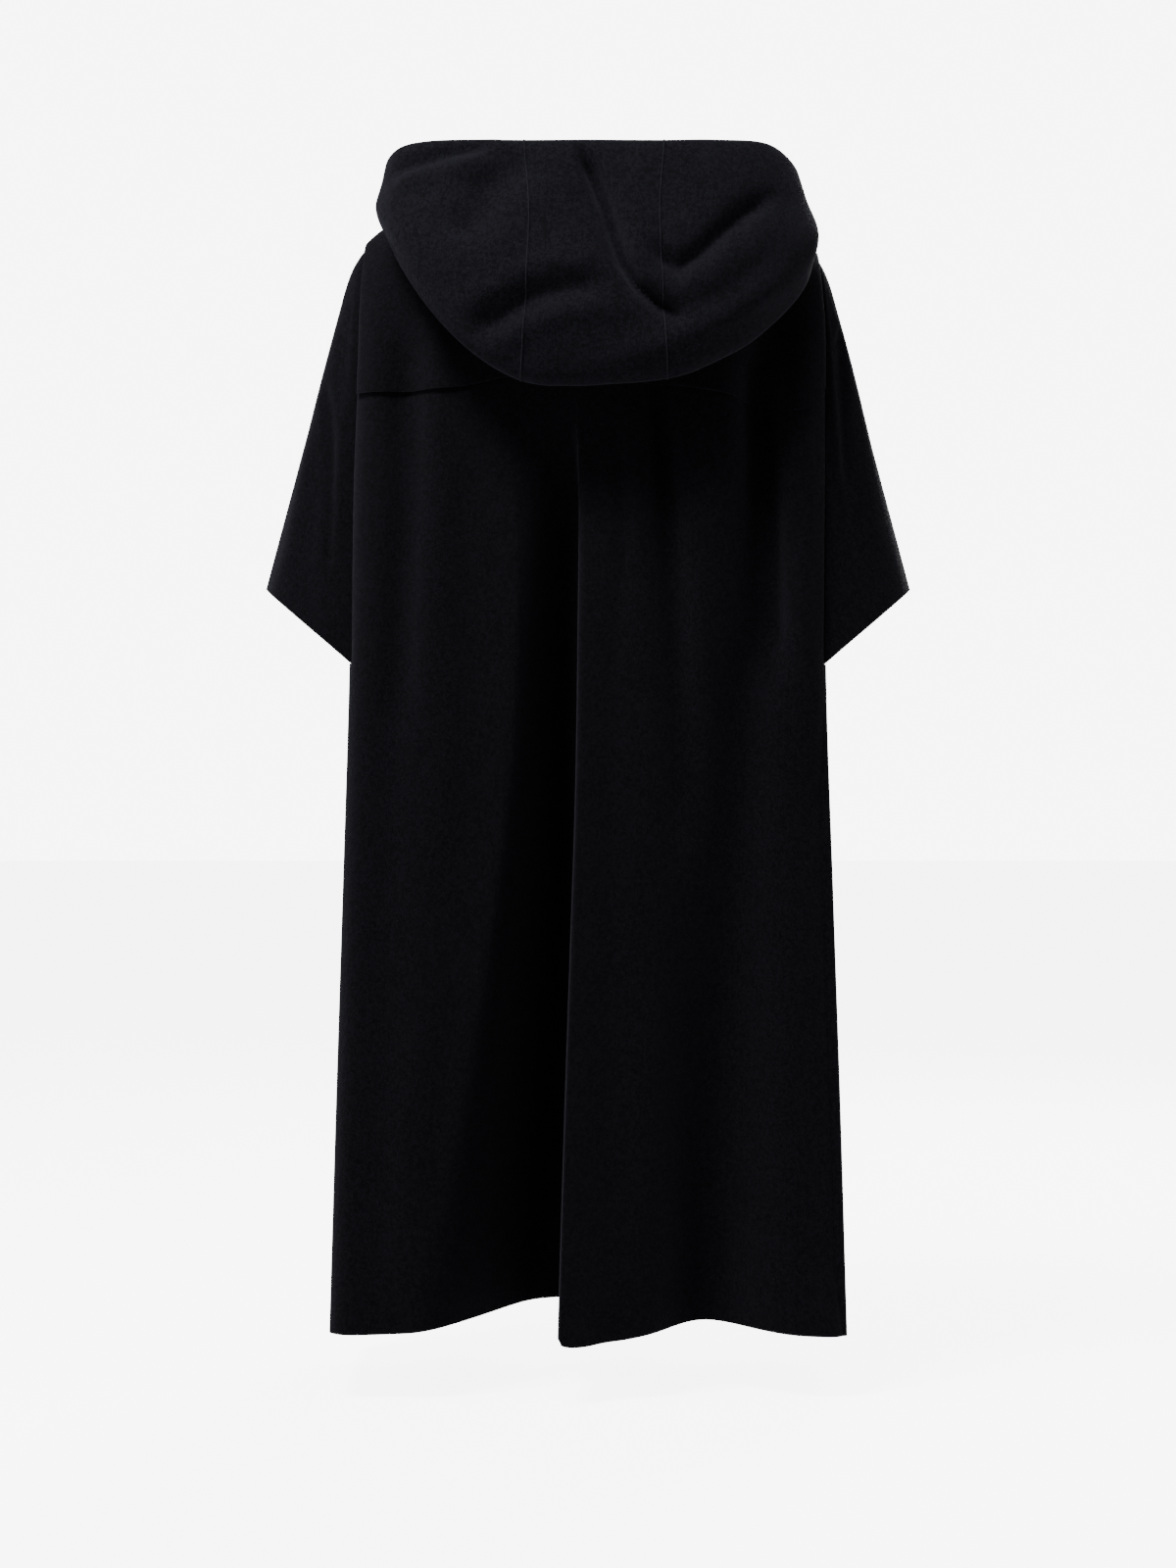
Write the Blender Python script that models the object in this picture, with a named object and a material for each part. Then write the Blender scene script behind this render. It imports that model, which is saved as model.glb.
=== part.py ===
"""A hooded poncho of thick black wool cloth, hanging as it is worn, hood down.

Frame: metres, +Z up, the wearer faces -Y, the wearer's left is +X. The origin is
where the wearer's shoulders carry the cloth, on the shoulder line between the arms.
Every panel is a patch of one skin: points on the outer face of the cloth, worked
out from the tables below, cut apart along the seams and then given its thickness.
"""

import math
from collections import namedtuple

import bpy
from mathutils import Vector
from mathutils.bvhtree import BVHTree

WALL = 0.0026            # thickness of the doubled wool
YOKE_WALL = 0.0020       # the flap is a single layer
SEAM = 0.0003            # pieces lie this far apart where they are sewn
HEM_Z = -1.000           # lowest edge of the plain back
CAP_Z = -0.100           # above this the cloth rounds over the shoulders
YOKE_HIGH_Z = -0.124     # the flap's lower edge lies between these two rows
YOKE_LOW_Z = -0.158
UNDERARM_Z = -0.389      # armhole bottom

NECK_HALF = 0.085        # the neck opening, seen from above
NECK_BACK = 0.055
NECK_FRONT = 0.080
NECK_SIDE_Z = 0.072
NECK_BACK_Z = 0.060
NECK_FRONT_Z = -0.012

CORNER = 0.020           # the hanging cloth turns round each side with this radius
CORNER_ANGLE = math.radians(62)  # how far it has turned where the armhole seam runs
ROUND_OFF = 0.070        # the panels curve back within this distance of their edges
CROWDING = 1.4           # columns stand closer to an edge with a higher power
SIDE_SWELL = 0.003       # the cloth swells this far between its corner and the side seam
FLAP_SHARES = (0.34, 0.67, 1.0)  # where the columns between the two lie
FRONT_MIDDLE = 0.110     # half the width of the front's middle columns at the hem
ARRIVAL = 0.10           # the rounding of the shoulders ends this steeply, out for each metre down

CAP_ROWS = 8
ARM_ROWS = 7
HANG_ROWS = 10
EDGE_SPANS, SLOPE_SPANS, LIP_SPANS, MID_SPANS = 9, 7, 8, 8
FRONT_SPANS = 12
ARCH_SPANS = 16
NECK_RISE = 0.012        # the cloth stands up this far at the neck seam


def table(name, columns, *rows):
    """A short table: one named tuple a row."""
    row = namedtuple(name, columns)
    return [row(*values) for values in rows]


# Hanging cloth, a row for each height: where the armhole or side edge of the back
# runs on the left and right, and how far back and front lie from the shoulder line.
HANG = table(
    "Hang", "z left right back front round_off",
    (-0.100, 0.2120, -0.2195, 0.096, -0.112, 0.016),
    (-0.220, 0.2165, -0.2190, 0.108, -0.122, 0.018),
    (-0.389, 0.2180, -0.2175, 0.116, -0.124, 0.016),
    (-0.600, 0.2235, -0.2235, 0.123, -0.126, 0.012),
    (-0.800, 0.2290, -0.2295, 0.129, -0.129, 0.008),
    (-1.000, 0.2340, -0.2345, 0.135, -0.132, 0.003),
)

# The deep fold of the back: the x of its overlapping lip, where the left panel
# starts to fall into it, how deep it is, how proud the lip stands, and the x
# where the right panel's middle ends.
PLEAT = table(
    "Pleat", "z lip slope depth proud middle",
    (-0.100, 0.0080, 0.085, 0.000, 0.000, -0.085),
    (-0.160, 0.0080, 0.080, 0.003, 0.000, -0.086),
    (-0.220, 0.0082, 0.074, 0.018, 0.001, -0.088),
    (-0.310, 0.0090, 0.068, 0.050, 0.007, -0.090),
    (-0.500, 0.0117, 0.076, 0.080, 0.013, -0.096),
    (-0.680, 0.0177, 0.098, 0.105, 0.018, -0.102),
    (-0.860, 0.0235, 0.128, 0.124, 0.024, -0.108),
    (-1.000, 0.0275, 0.155, 0.130, 0.030, -0.112),
)
PLEAT_ROUND = 0.007      # radius of the lip
PLEAT_SHOULDER = 0.045   # width of the swelling that carries the lip
PLEAT_FLOOR = (0.014, 0.006)  # how far left of the lip its floor ends, closed and open
PLEAT_OPENS = 0.045      # depth at which the lip fully overlaps

# Soft folds, a row each: place, width and height at the top and at the hem.
FOLD_COLUMNS = "name top_x hem_x top_width hem_width top_rise hem_rise"
BACK_FOLDS = table(
    "Fold", FOLD_COLUMNS,
    ("left channel", 0.170, 0.190, 0.016, 0.020, -0.006, -0.001),
    ("left ridge", 0.134, 0.160, 0.018, 0.024, 0.005, 0.002),
    ("right inner channel", -0.067, -0.095, 0.016, 0.026, -0.006, -0.004),
    ("right ridge", -0.113, -0.140, 0.018, 0.030, 0.006, 0.000),
    ("lip ridge", -0.045, -0.055, 0.018, 0.024, 0.000, 0.006),
    ("right hollow", -0.160, -0.112, 0.024, 0.052, -0.010, -0.056),
    ("lip channel", -0.022, -0.012, 0.012, 0.012, 0.000, -0.005),
)
FRONT_FOLDS = table(
    "Fold", FOLD_COLUMNS,
    ("left channel", 0.150, 0.165, 0.020, 0.030, -0.006, -0.020),
    ("left ridge", 0.100, 0.098, 0.022, 0.034, 0.006, 0.016),
    ("middle channel", 0.030, 0.022, 0.026, 0.040, -0.006, -0.034),
    ("right ridge", -0.062, -0.058, 0.022, 0.034, 0.006, 0.014),
    ("right channel", -0.125, -0.128, 0.022, 0.034, -0.006, -0.026),
)

# Height of the hem along the back, left and right of the lip, and along the front.
BACK_HEM_LEFT = table(
    "Hem", "x z",
    (0.236, -1.000), (0.205, -1.000), (0.160, -0.9975), (0.125, -0.9936),
    (0.090, -0.9905), (0.055, -0.9872), (0.020, -0.9862),
)
BACK_HEM_RIGHT = table(
    "Hem", "x z",
    (0.0275, -0.9985), (0.0205, -1.0055), (0.006, -1.0068), (-0.020, -1.0050), (-0.060, -1.0005),
    (-0.090, -0.9965), (-0.112, -0.9955), (-0.150, -0.9985), (-0.190, -1.0015), (-0.236, -1.003),
)

FRONT_HEM = table(
    "Hem", "x z",
    (0.236, -1.000), (0.165, -0.996), (0.098, -1.002), (0.022, -0.993),
    (-0.058, -1.002), (-0.128, -0.995), (-0.190, -1.001), (-0.236, -1.003),
)
SIDE_HEM = (-1.000, -1.003)  # at the side seams, left and right

# The outline of the shoulders and sleeves seen from behind, the same on both sides.
SHOULDER = table(
    "Shoulder", "x z",
    (0.085, 0.0720), (0.110, 0.0615), (0.140, 0.0490), (0.170, 0.0360),
    (0.195, 0.0205), (0.2055, 0.0110), (0.213, 0.0020), (0.219, -0.0070),
)
SLEEVE = table(
    "Sleeve", "z reach",
    (0.0110, 0.2055), (0.0020, 0.2130), (-0.0070, 0.2190), (-0.0164, 0.2240),
    (-0.0350, 0.2306), (-0.0580, 0.2365), (-0.3140, 0.3050), (-0.4000, 0.3280),
)
CUFF_SLOPE = 0.845       # the cuff rises this much for each metre outwards
SLEEVE_FULLNESS = 0.85   # under 1 the sleeve is squarer than an ellipse
SHOULDER_POINT = (0.2095, -0.2160)  # left and right ends of the shoulder seam
# How the cloth leaves its top edge, outwards and down: at the middle of the neck, and
# at the neck end of the shoulder seam on the back and on the front.
NECK_LEAVES = (0.5, -1.0)
BACK_LEAVES = (1.2, -0.35)
FRONT_LEAVES = (0.85, -0.85)
# Soft folds down each sleeve, a row each: angle from the back seam, width, height.
SLEEVE_FOLDS = table(
    "SleeveFold", "name angle width rise",
    ("back channel", 22, 12, -0.005),
    ("back ridge", 48, 14, 0.004),
    ("front channel", 128, 16, -0.005),
)

# The yoke flap's lower edge along the back, as a fall below the shoulders.
YOKE_EDGE = table(
    "Yoke", "x z",
    (0.215, -0.1405), (0.140, -0.1385), (0.110, -0.1345), (0.078, -0.1275), (0.000, -0.1275),
    (-0.090, -0.1360), (-0.135, -0.1455), (-0.171, -0.1550), (-0.190, -0.1570), (-0.203, -0.1535),
    (-0.2125, -0.1430), (-0.2195, -0.1280),
)
YOKE_LIFT = 0.0018
YOKE_IN = 0.40           # share of the first row and column that the flap stays inside its seams

# The hood lying down, a row for each section round the neck: the neck angle (0 at
# the back, 180 at the front), the lowest line of the bag, its upper roll, and how
# far the outer cloth swells between them. The right side differs a little.
HOOD_COLUMNS = "angle rim_x rim_y rim_z top_x top_y top_z swell"
HOOD_LEFT = table(
    "HoodSection", HOOD_COLUMNS,
    (0, 0.004, 0.158, -0.139, 0.000, 0.128, 0.0830, 0.022),
    (26, 0.058, 0.156, -0.135, 0.056, 0.126, 0.0830, 0.022),
    (50, 0.110, 0.148, -0.103, 0.114, 0.118, 0.0845, 0.022),
    (70, 0.154, 0.122, -0.050, 0.166, 0.098, 0.0840, 0.020),
    (86, 0.180, 0.082, 0.006, 0.182, 0.066, 0.0735, 0.010),
    (104, 0.167, 0.030, 0.044, 0.158, 0.014, 0.0790, 0.010),
    (124, 0.146, -0.038, 0.038, 0.128, -0.034, 0.0720, 0.012),
    (146, 0.104, -0.098, -0.004, 0.086, -0.082, 0.0380, 0.010),
    (166, 0.048, -0.124, -0.046, 0.038, -0.106, 0.0040, 0.008),
    (180, 0.0006, -0.127, -0.060, 0.0006, -0.110, -0.0080, 0.007),
)
HOOD_RIGHT = table(
    "HoodSection", HOOD_COLUMNS,
    (0, 0.004, 0.158, -0.139, 0.000, 0.128, 0.0830, 0.022),
    (26, -0.069, 0.158, -0.133, -0.067, 0.126, 0.0830, 0.022),
    (50, -0.112, 0.152, -0.118, -0.118, 0.120, 0.0845, 0.022),
    (70, -0.158, 0.128, -0.088, -0.166, 0.102, 0.0835, 0.021),
    (86, -0.199, 0.086, -0.034, -0.189, 0.072, 0.0660, 0.012),
    (104, -0.178, 0.030, 0.026, -0.166, 0.014, 0.0760, 0.011),
    (124, -0.152, -0.038, 0.032, -0.130, -0.034, 0.0700, 0.012),
    (146, -0.106, -0.098, -0.006, -0.088, -0.082, 0.0380, 0.010),
    (166, -0.048, -0.124, -0.046, -0.038, -0.106, 0.0040, 0.008),
    (180, -0.0006, -0.127, -0.060, -0.0006, -0.110, -0.0080, 0.007),
)
# How far the hood's cloth stays off the body, by its row from the neck seam to the
# edge: the inner layer, the rim that rests, and the outer layer.
HOOD_REST = table(
    "Rest", "row clear",
    (0, 0.0), (1, 0.0025), (2, 0.0060), (4, 0.0095), (8, 0.0100), (12, 0.0100), (14, 0.014), (17, 0.026), (26, 0.032),
)
HOOD_SIDE_COLUMNS = 20   # on each half
GUSSET_COLUMNS = 3       # of them, those that belong to the centre gusset
HOOD_MEET = 0.0008       # half the space between its front edges
HOOD_ARCH = 0.006        # the inner cloth passes this much above a straight line over the shoulder
LIFT_STEP = 0.0005
LIFT_MOST = 0.040
LIFT_PASSES = 6
HOOD_CLEAR = 0.009       # the inner cloth stays this far outside the neck seam
GUSSET_ANGLE = 27        # neck angle of the seams between the gusset and the sides
SEAM_PINCH = 0.005       # these seams draw in this far towards the middle at half height
RIM_ROUND = 0.012        # how far the cloth comes back where it turns at the rim and at the top
RIM_SWELL = 0.006        # the outer cloth stands at least this far off a flat bag
ARCH_FROM, ARCH_OVER = 50, 40  # neck angle where the arch over the shoulder starts, and its growth

BLACK = (0.0062, 0.0062, 0.0074, 1.0)


# ---------------------------------------------------------------- helpers

def ease(x):
    """0 up to x = 0, 1 from x = 1, smooth between."""
    x = min(max(x, 0.0), 1.0)
    return x * x * (3 - 2 * x)


def mix(a, b, share):
    return a + (b - a) * share


def bump(x, width):
    return math.exp(-((x / width) ** 2))


def read(rows, key, name, at):
    """The named column at a place between rows, by a smooth curve through them."""
    rows = sorted(rows, key=lambda row: getattr(row, key))
    keys = [getattr(row, key) for row in rows]
    values = [getattr(row, name) for row in rows]
    at = min(max(at, keys[0]), keys[-1])
    i = max(k for k in range(len(keys) - 1) if keys[k] <= at)

    def slope(k):
        low, high = max(k - 1, 0), min(k + 1, len(keys) - 1)
        return (values[high] - values[low]) / (keys[high] - keys[low])

    span = keys[i + 1] - keys[i]
    return hermite(values[i], values[i + 1], slope(i) * span, slope(i + 1) * span, (at - keys[i]) / span)


def hermite(a, b, leave, arrive, t):
    """A cubic from a to b with the given end slopes. Works on numbers and vectors."""
    return (a * (2 * t ** 3 - 3 * t ** 2 + 1) + leave * (t ** 3 - 2 * t ** 2 + t)
            + b * (3 * t ** 2 - 2 * t ** 3) + arrive * (t ** 3 - t ** 2))


def spline(points, per_span):
    """Points along a smooth curve through the given ones, the first of each span included."""
    found = []
    for i in range(len(points) - 1):
        before = points[max(i - 1, 0)]
        after = points[min(i + 2, len(points) - 1)]
        leave = (points[i + 1] - before) * 0.5
        arrive = (after - points[i]) * 0.5
        for step in range(per_span):
            found.append(hermite(points[i], points[i + 1], leave, arrive, step / per_span))
    return found + [points[-1]]


# ---------------------------------------------------------------- the body's sections

def folds_at(folds, x, z):
    """How far the soft folds lift the cloth at x, with z between the cap and the hem."""
    down = min(max((CAP_Z - z) / (CAP_Z - HEM_Z), 0.0), 1.0)
    start = ease((CAP_Z + 0.06 - z) / 0.12)
    return start * sum(
        mix(fold.top_rise, fold.hem_rise, down)
        * bump(x - mix(fold.top_x, fold.hem_x, down), mix(fold.top_width, fold.hem_width, down))
        for fold in folds)


def corner_drop(inside):
    """How far the cloth has turned away, at this distance inside the edge."""
    reach = CORNER * math.sin(CORNER_ANGLE) - inside
    return CORNER - math.sqrt(CORNER ** 2 - reach ** 2) if reach > 0 else 0.0


def panel_y(depth, folds, x, z):
    """Distance of the plain panel from the shoulder line at x, as a positive number."""
    left = read(HANG, "z", "left", z)
    right = read(HANG, "z", "right", z)
    inside = min(left - x, x - right)
    fall = read(HANG, "z", "round_off", z) * max(0.0, 1 - inside / ROUND_OFF) ** 2
    return depth - corner_drop(max(inside, 0.0)) - fall + folds_at(folds, x, z)


def edge_shares(spans):
    """Spacing of columns from an edge inwards: close at the corner, wide inside."""
    return [(i / spans) ** CROWDING for i in range(spans + 1)]


def back_section(z):
    """Outer face of the back at one height, from the left edge to the right one."""
    left, right = read(HANG, "z", "left", z), read(HANG, "z", "right", z)
    depth = read(HANG, "z", "back", z)
    lip, slope, fall, proud, middle = (
        read(PLEAT, "z", name, z) for name in ("lip", "slope", "depth", "proud", "middle"))
    fall, proud = max(fall, 0.0), max(proud, 0.0)
    over = ease(fall / PLEAT_OPENS)

    def plain(x):
        return panel_y(depth, BACK_FOLDS, x, z)

    def raised(x):
        return plain(x) + proud * bump(x - lip, PLEAT_SHOULDER)

    points = [Vector((mix(left, slope, share), plain(mix(left, slope, share)), z))
              for share in edge_shares(EDGE_SPANS)]
    bottom = lip + mix(*PLEAT_FLOOR, over)
    for i in range(1, SLOPE_SPANS):
        x = mix(slope, bottom, i / SLOPE_SPANS)
        points.append(Vector((x, plain(x) - fall * ease(i / SLOPE_SPANS), z)))
    floor = plain(bottom) - fall
    top = raised(lip - PLEAT_ROUND)
    corner = [
        Vector((bottom, floor, z)),
        Vector((lip + mix(0.007, -0.004, over), mix(floor, floor + 0.007, over), z)),
        Vector((lip + mix(0.003, -0.005, over), mix(floor, top, 0.5), z)),
        Vector((lip, top - mix(0.0, PLEAT_ROUND, over), z)),
        Vector((lip - PLEAT_ROUND, top, z)),
    ]
    before = points[-1]
    after = Vector((lip - 2.6 * PLEAT_ROUND, raised(lip - 2.6 * PLEAT_ROUND), z))
    curve = spline([before] + corner + [after], LIP_SPANS // 4)
    step = LIP_SPANS // 4
    points += curve[step:-step]
    start = lip - PLEAT_ROUND
    for i in range(1, MID_SPANS + 1):
        x = mix(start, middle, i / MID_SPANS)
        points.append(Vector((x, raised(x), z)))
    for share in edge_shares(EDGE_SPANS)[-2::-1]:
        x = mix(right, middle, share)
        points.append(Vector((x, raised(x), z)))
    return points


def front_section(z):
    """Outer face of the front at one height, from the left edge to the right one."""
    left, right = read(HANG, "z", "left", z), read(HANG, "z", "right", z)
    depth = -read(HANG, "z", "front", z)
    down = (CAP_Z - z) / (CAP_Z - HEM_Z)
    near, far = mix(NECK_HALF, FRONT_MIDDLE, down), mix(-NECK_HALF, -FRONT_MIDDLE, down)
    across = [mix(left, near, share) for share in edge_shares(EDGE_SPANS)]
    across += [mix(near, far, 0.5 - 0.5 * math.cos(math.pi * i / FRONT_SPANS)) for i in range(1, FRONT_SPANS)]
    across += [mix(right, far, share) for share in edge_shares(EDGE_SPANS)[::-1]]
    return [Vector((x, -panel_y(depth, FRONT_FOLDS, x, z), z)) for x in across]


def flap_columns(edge, z, side, facing):
    """From a panel's edge round the corner to the side seam: four more points."""
    extreme = edge.x + side * CORNER * (1 - math.sin(CORNER_ANGLE))
    turned = edge.y - facing * CORNER * math.cos(CORNER_ANGLE)
    return [Vector((extreme, turned, z))] + [
        Vector((extreme + side * SIDE_SWELL * math.sin(math.pi * share / 2), turned * (1 - share), z))
        for share in FLAP_SHARES]


# ---------------------------------------------------------------- the shoulder cap

def top_edge(x, facing, ends):
    """The point of the neckline or shoulder seam over x, and its leaving direction."""
    near = BACK_LEAVES if facing > 0 else FRONT_LEAVES
    if abs(x) < NECK_HALF - 1e-6:
        turn = math.asin(x / NECK_HALF)
        y, z = neck_point(turn, facing)
        side = abs(math.sin(turn)) ** 3
        leave = Vector((0.0, facing * mix(NECK_LEAVES[0], near[0], side), mix(NECK_LEAVES[1], near[1], side)))
        return Vector((x, y, z)), leave
    span = ends[0] if x > 0 else -ends[1]
    share = (abs(x) - NECK_HALF) / (span - NECK_HALF)
    height = read(SHOULDER, "x", "z", mix(NECK_HALF, span, share))
    return Vector((x, 0.0, height)), Vector((0.0, facing * mix(near[0], 1.0, share), mix(near[1], -0.02, share)))


def neck_point(turn, facing):
    """y and z of the neck opening, with turn measured from its back or front middle."""
    middle = NECK_BACK if facing > 0 else NECK_FRONT
    middle_z = NECK_BACK_Z if facing > 0 else NECK_FRONT_Z
    share = math.cos(turn)
    return facing * middle * share, mix(NECK_SIDE_Z, middle_z, share ** 1.5)


def cap_row(section, facing, share):
    """One row of the rounding between the top edge and the first hanging section."""
    row = []
    last = len(section) - 1
    for i, foot in enumerate(section):
        x = foot.x
        if i <= EDGE_SPANS:
            x = mix(SHOULDER_POINT[0], NECK_HALF, edge_shares(EDGE_SPANS)[i])
        if last - i <= EDGE_SPANS:
            x = mix(SHOULDER_POINT[1], -NECK_HALF, edge_shares(EDGE_SPANS)[last - i])
        head, leave = top_edge(x, facing, SHOULDER_POINT)
        size = (foot - head).length
        arrive = Vector((0.0, facing * ARRIVAL, -1.0))
        row.append(hermite(head, foot, leave * size, arrive * size, share))
    return row


def panel_grid(section_of, facing, hem):
    """Rows of a whole panel from its top edge to the hem, with its side flaps."""
    first = section_of(CAP_Z)
    rows = [cap_row(first, facing, mix(i / CAP_ROWS, ease(i / CAP_ROWS), 0.4)) for i in range(CAP_ROWS)]
    heights = [CAP_Z, YOKE_HIGH_Z] + [mix(YOKE_LOW_Z, UNDERARM_Z, i / (ARM_ROWS - 2)) for i in range(ARM_ROWS - 2)]
    heights += [mix(UNDERARM_Z, HEM_Z, i / HANG_ROWS) for i in range(HANG_ROWS + 1)]
    for z in heights:
        row = section_of(z)
        drop = (CAP_Z - z) / (CAP_Z - HEM_Z)
        for column, point in enumerate(row):
            point.z = mix(CAP_Z, hem(point.x, column), drop)
        rows.append(row)
    grid = []
    for number, row in enumerate(rows):
        if number < CAP_ROWS + ARM_ROWS:
            grid.append([None] * 4 + row + [None] * 4)
            continue
        drop = (CAP_Z - heights[number - CAP_ROWS]) / (CAP_Z - HEM_Z)
        left = flap_columns(row[0], mix(CAP_Z, SIDE_HEM[0], drop), 1, facing)
        right = flap_columns(row[-1], mix(CAP_Z, SIDE_HEM[1], drop), -1, facing)
        grid.append(left[::-1] + row + right)
    return grid


def back_hem(x, column):
    """The back's hem hangs lower from the overlapping lip on."""
    over = column > EDGE_SPANS + SLOPE_SPANS + LIP_SPANS // 2
    return read(BACK_HEM_RIGHT if over else BACK_HEM_LEFT, "x", "z", x)


def front_hem(x, column):
    return read(FRONT_HEM, "x", "z", x)


# ---------------------------------------------------------------- sleeves

def sleeve_grid(back_edge, front_edge, side):
    """Arches from the back armhole seam to the front one, down to the sloping cuff."""
    grid = []
    for back, front in zip(back_edge, front_edge):
        if (back - front).length < WALL:
            grid.append([back.copy()] * (ARCH_SPANS + 1))
            continue
        row = []
        for i in range(ARCH_SPANS + 1):
            angle = math.pi * i / ARCH_SPANS
            seam = mix(back, front, 0.5 - 0.5 * math.cos(angle))
            out = math.sin(angle) ** SLEEVE_FULLNESS if 0 < i < ARCH_SPANS else 0.0
            turn = math.degrees(angle)
            folds = ease(-seam.z / 0.15) * sum(
                fold.rise * bump(turn - fold.angle, fold.width) for fold in SLEEVE_FOLDS)
            rising = CUFF_SLOPE * (1 - min(max((seam.z - UNDERARM_Z) / (CAP_Z - UNDERARM_Z), 0.0), 1.0))
            z = seam.z
            inner = abs(seam.x)
            for _ in range(4):  # the cuff rises outwards, so the height depends on the reach
                gain = max(max(read(SLEEVE, "z", "reach", z) - inner, 0.0) * out + folds, 0.0)
                z = seam.z + rising * gain
            row.append(Vector((side * (inner + gain), seam.y, z)))
        grid.append(row)
    return grid


# ---------------------------------------------------------------- hood

def neck_angle_point(angle, side):
    """A point of the neck opening at an angle from the back, going round one side."""
    turn = math.radians(angle)
    x = side * NECK_HALF * math.sin(turn)
    facing = 1 if math.cos(turn) >= 0 else -1
    y, z = neck_point(turn if facing > 0 else math.pi - turn, facing)
    return Vector((x, y, z))


def hood_profile(angle, rows, side):
    """The cloth of the hood from the neck seam down, round the rim and up to the edge."""
    section = {name: read(rows, "angle", name, angle) for name in HOOD_COLUMNS.split()[1:]}
    neck = neck_angle_point(angle, side)
    rim = Vector((section["rim_x"], section["rim_y"], section["rim_z"]))
    top = Vector((section["top_x"], section["top_y"], section["top_z"]))
    away = Vector((rim.x - neck.x, rim.y - neck.y, 0.0)).normalized()
    up = Vector((0, 0, 1))
    neck = neck + up * SEAM * 2
    rise = min(NECK_RISE, max(top.z - neck.z, 0.008) * 0.6)
    swell = section["swell"]
    across = (top - rim).normalized()
    outward = (away - across * away.dot(across)).normalized()
    outward = Vector((outward.x * ease((angle - 15) / 40), outward.y, outward.z)).normalized()
    pinch = Vector((-side * SEAM_PINCH * bump(angle - GUSSET_ANGLE, 16), 0, 0))
    start = neck + away * HOOD_CLEAR * 2
    through = rim - outward * RIM_ROUND
    over = up * HOOD_ARCH * ease((angle - ARCH_FROM) / ARCH_OVER)
    points = [
        neck,
        neck + up * rise,
        neck + up * rise * 1.35 + away * 0.005,
        neck + up * rise * 0.9 + away * HOOD_CLEAR * 1.4,
        mix(start, through, 0.33) + outward * 0.004 + over,
        mix(start, through, 0.7) + outward * 0.002 + over * 0.6,
        through + across * RIM_ROUND,
        rim,
        rim + across * 0.016 + outward * (0.35 * swell + RIM_SWELL) + pinch * 0.3,
        mix(rim, top, 0.36) + outward * (swell + RIM_SWELL) + pinch,
        mix(rim, top, 0.68) + outward * swell * 0.85 + pinch * 1.3,
        mix(rim, top, 0.92) + outward * swell * 0.40 + pinch * 0.4,
        top,
        top - outward * RIM_ROUND - across * 0.5 * RIM_ROUND,
    ]
    return spline(points, 2)


def hood_grid(body):
    """All columns of the hood, from the front on the left round to the front on the right."""
    shares = [i / HOOD_SIDE_COLUMNS for i in range(HOOD_SIDE_COLUMNS + 1)]
    left = [hood_profile(180 * share, HOOD_LEFT, 1) for share in shares]
    right = [hood_profile(180 * share, HOOD_RIGHT, -1) for share in shares]
    columns = left[::-1] + right[1:]
    lift_off(body, columns)
    for column, side in ((columns[0], 1), (columns[-1], -1)):
        for point in column:  # the two front edges meet in the middle
            point.x = side * HOOD_MEET
    return columns


def lift_off(body, columns):
    """Lifts the hood clear of the body's cloth, the lifts smoothed from point to point."""
    last = len(columns) - 1
    lifts = [[needed(body, point, upward(column), read(HOOD_REST, "row", "clear", i))
              for i, point in enumerate(column)] for column in columns]
    for _ in range(LIFT_PASSES):
        lifts = [[max(lift, 0.25 * (lifts[max(c - 1, 0)][i] + lifts[min(c + 1, last)][i]
                                    + line[i - 1] + line[min(i + 1, len(line) - 1)])) if i else 0.0
                  for i, lift in enumerate(line)] for c, line in enumerate(lifts)]
    for column, line in zip(columns, lifts):
        direction = upward(column)
        for point, lift in zip(column, line):
            point += direction * lift


def upward(column):
    """The way a column of the hood is lifted: up and away from the neck."""
    rim = max(column, key=lambda point: (point - column[0]).xy.length)
    away = (rim - column[0]).xy.normalized()
    return Vector((away.x, away.y, 1.0)).normalized()


def needed(body, point, direction, clear):
    """How far a point has to go to be this far outside the body's cloth."""
    lift = 0.0
    while lift < LIFT_MOST:
        nearest, normal, _, _ = body.find_nearest(point + direction * lift)
        if (point + direction * lift - nearest).dot(normal) >= clear:
            break
        lift += LIFT_STEP
    return lift


def body_surface(grids):
    """The outer face of the shoulders, to rest the hood on."""
    points, quads = [], []
    for grid, outward in grids:
        for row, lower in zip(grid, grid[1:]):
            for c in range(4, len(row) - 5):
                corners = [row[c], lower[c], lower[c + 1], row[c + 1]]
                start = len(points)
                points += corners
                quad = list(range(start, start + 4))
                quads.append(quad if outward > 0 else quad[::-1])
    return BVHTree.FromPolygons(points, quads)


# ---------------------------------------------------------------- cloth from points

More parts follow.
